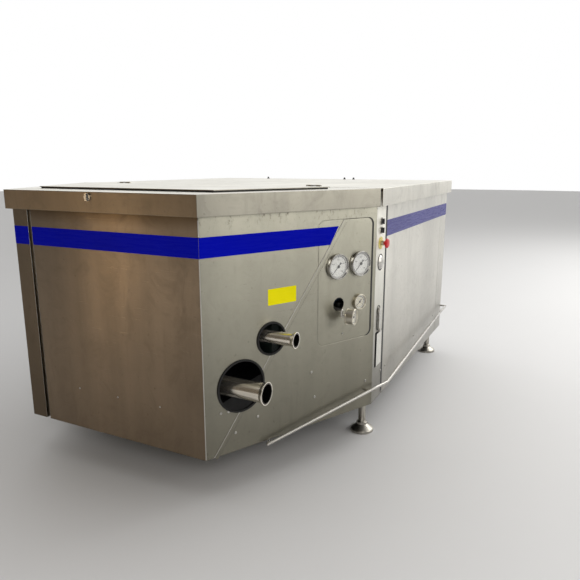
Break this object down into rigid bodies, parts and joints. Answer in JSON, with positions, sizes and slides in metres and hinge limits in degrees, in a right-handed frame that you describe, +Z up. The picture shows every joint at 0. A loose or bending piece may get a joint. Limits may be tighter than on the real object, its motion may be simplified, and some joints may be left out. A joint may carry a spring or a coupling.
{
  "type": "dairy homogenizer",
  "caption": "Floor-standing dairy homogenizer: stainless cabinet with a tapering nose, hinged lids, gauges, inlet and outlet pipes, and a belt-driven plunger pump inside.",
  "frame": {"origin": "centre of the bounding box at floor level", "axes": "+Z up, the nose faces -Y, the control column and pipes are on +X"},
  "size_m": [1.8172, 2.3556, 1.191],
  "materials": {
    "frame_steel": "satin paint",
    "stainless_panel": "brushed",
    "stainless_lid": "brushed",
    "polished_steel": "polished",
    "machined_steel": "machined",
    "blue_foil": "gloss film",
    "black_rubber": "matt",
    "dial_white": "matt print",
    "clear_lens": "clear",
    "black_plastic": "matt",
    "red_plastic": "gloss",
    "yellow_plastic": "gloss",
    "light_plastic": "matt",
    "cast_green": "painted casting",
    "motor_paint": "painted casting",
    "cast_grey": "as cast",
    "ceramic": "ground"
  },
  "bodies": {
    "machine": {"base_frame": "frame_steel", "upper_frame": "frame_steel", "front_panel": "stainless_panel", "right_nose_panel": "stainless_panel", "left_nose_panel": "stainless_panel", "gauge_plate": "stainless_panel", "control_column": "stainless_panel", "right_side_panel": "stainless_panel", "left_side_panel": "stainless_panel", "rear_panel": "stainless_panel", "lid_seals": "black_rubber", "blue_band": "blue_foil", "kick_rail": "polished_steel", "inlet_pipe": "polished_steel", "outlet_pipe": "polished_steel", "hole_trims": "black_rubber", "gauge_cases": "polished_steel", "gauge_dials": "dial_white", "gauge_lenses": "clear_lens", "gauge_tube": "machined_steel", "estop_collar": "yellow_plastic", "switch_bodies": "black_plastic", "domed_cap": "polished_steel", "slot_recess": "black_plastic", "slot_bar": "light_plastic", "hinge_brackets": "machined_steel", "pump_block": "machined_steel", "pump_fittings": "machined_steel", "distance_piece": "cast_grey", "homogenizing_head": "machined_steel", "head_actuators": "machined_steel", "crankcase": "cast_green", "crankcase_cover": "cast_green", "motor_body": "motor_paint", "motor_base": "frame_steel", "v_belts": "black_rubber", "hydraulic_unit": "frame_steel"},
    "front_lid": {"front_lid": "stainless_lid", "top_hatch": "stainless_lid", "hatch_seal": "black_rubber"},
    "front_lid_latch": {"front_lid_latch": "machined_steel"},
    "rear_lid": {"rear_lid": "stainless_lid"},
    "rear_lid_latch": {"rear_lid_latch": "machined_steel"},
    "estop_button": {"estop_button": "red_plastic"},
    "selector_upper": {"selector_upper": "black_plastic"},
    "selector_lower": {"selector_lower": "black_plastic"},
    "paddle_latch": {"paddle_latch": "polished_steel"},
    "pointer_1": {"pointer_1": "black_plastic"},
    "pointer_2": {"pointer_2": "black_plastic"},
    "pointer_3": {"pointer_3": "black_plastic"},
    "pointer_4": {"pointer_4": "black_plastic"},
    "motor_pulley": {"motor_pulley": "cast_grey"},
    "drive_pulley": {"drive_pulley": "cast_grey"},
    "plunger_1": {"plunger_1": "ceramic"},
    "plunger_2": {"plunger_2": "ceramic"},
    "plunger_3": {"plunger_3": "ceramic"},
    "foot_front_right": {"foot_front_right": "polished_steel"},
    "foot_front_left": {"foot_front_left": "polished_steel"},
    "foot_rear_right": {"foot_rear_right": "polished_steel"},
    "foot_rear_left": {"foot_rear_left": "polished_steel"}
  },
  "joints": [
    {"name": "front_lid_hinge", "type": "hinge", "parent": "machine", "child": "front_lid", "pos_m": [0, -0.3645, 1.184], "axis": [-1, 0, 0], "range_deg": [0, 75]},
    {"name": "rear_lid_hinge", "type": "hinge", "parent": "machine", "child": "rear_lid", "pos_m": [-0.8935, 0, 1.1], "axis": [0, -1, 0], "range_deg": [0, 75]},
    {"name": "front_latch_turn", "type": "hinge", "parent": "front_lid", "child": "front_lid_latch", "pos_m": [-0.015, -1.1655, 1.16], "axis": [0, -1, 0], "range_deg": [0, 90]},
    {"name": "rear_latch_turn", "type": "hinge", "parent": "rear_lid", "child": "rear_lid_latch", "pos_m": [0.6, 1.1655, 1.16], "axis": [0, 1, 0], "range_deg": [0, 90]},
    {"name": "estop_push", "type": "slide", "parent": "machine", "child": "estop_button", "axis": [-1, 0, 0], "range_m": [0, 0.006]},
    {"name": "selector_upper_turn", "type": "hinge", "parent": "machine", "child": "selector_upper", "pos_m": [0.8625, -0.2945, 1.032], "axis": [1, 0, 0], "range_deg": [0, 90]},
    {"name": "selector_lower_turn", "type": "hinge", "parent": "machine", "child": "selector_lower", "pos_m": [0.8625, -0.2945, 0.992], "axis": [1, 0, 0], "range_deg": [0, 90]},
    {"name": "paddle_turn", "type": "hinge", "parent": "machine", "child": "paddle_latch", "pos_m": [0.8625, -0.2945, 0.616], "axis": [1, 0, 0], "range_deg": [0, 90]},
    {"name": "pointer_1_swing", "type": "hinge", "parent": "machine", "child": "pointer_1", "pos_m": [0.76693, -0.56653, 0.86], "axis": [-0.8944, 0.4472, 0], "range_deg": [0, 270]},
    {"name": "pointer_2_swing", "type": "hinge", "parent": "machine", "child": "pointer_2", "pos_m": [0.82507, -0.45025, 0.86], "axis": [-0.8944, 0.4472, 0], "range_deg": [0, 270]},
    {"name": "pointer_3_swing", "type": "hinge", "parent": "machine", "child": "pointer_3", "pos_m": [0.82328, -0.44712, 0.689], "axis": [-0.8944, 0.4472, 0], "range_deg": [0, 270]},
    {"name": "pointer_4_swing", "type": "hinge", "parent": "machine", "child": "pointer_4", "pos_m": [0.82982, -0.56205, 0.6483], "axis": [-1, 0, 0], "range_deg": [0, 270]},
    {"name": "drive_pulley_spin", "type": "hinge", "parent": "machine", "child": "drive_pulley", "pos_m": [-0.45, -0.0775, 0.61], "axis": [1, 0, 0], "continuous": true},
    {"name": "motor_pulley_spin", "type": "hinge", "parent": "machine", "child": "motor_pulley", "pos_m": [-0.45, 0.7075, 0.5145], "axis": [1, 0, 0], "continuous": true},
    {"name": "plunger_1_stroke", "type": "slide", "parent": "machine", "child": "plunger_1", "axis": [0, -1, 0], "range_m": [0, 0.06]},
    {"name": "plunger_2_stroke", "type": "slide", "parent": "machine", "child": "plunger_2", "axis": [0, -1, 0], "range_m": [0, 0.06]},
    {"name": "plunger_3_stroke", "type": "slide", "parent": "machine", "child": "plunger_3", "axis": [0, -1, 0], "range_m": [0, 0.06]},
    {"name": "foot_front_right_turn", "type": "hinge", "parent": "machine", "child": "foot_front_right", "pos_m": [0.794, -0.2835, 0.03], "axis": [0, 0, 1], "continuous": true},
    {"name": "foot_front_left_turn", "type": "hinge", "parent": "machine", "child": "foot_front_left", "pos_m": [-0.794, -0.2835, 0.03], "axis": [0, 0, 1], "continuous": true},
    {"name": "foot_rear_right_turn", "type": "hinge", "parent": "machine", "child": "foot_rear_right", "pos_m": [0.794, 1.0765, 0.03], "axis": [0, 0, 1], "continuous": true},
    {"name": "foot_rear_left_turn", "type": "hinge", "parent": "machine", "child": "foot_rear_left", "pos_m": [-0.794, 1.0765, 0.03], "axis": [0, 0, 1], "continuous": true}
  ],
  "couplings": [
    {"joint": "motor_pulley_spin", "follows": "drive_pulley_spin", "ratio": 2.8319}
  ]
}
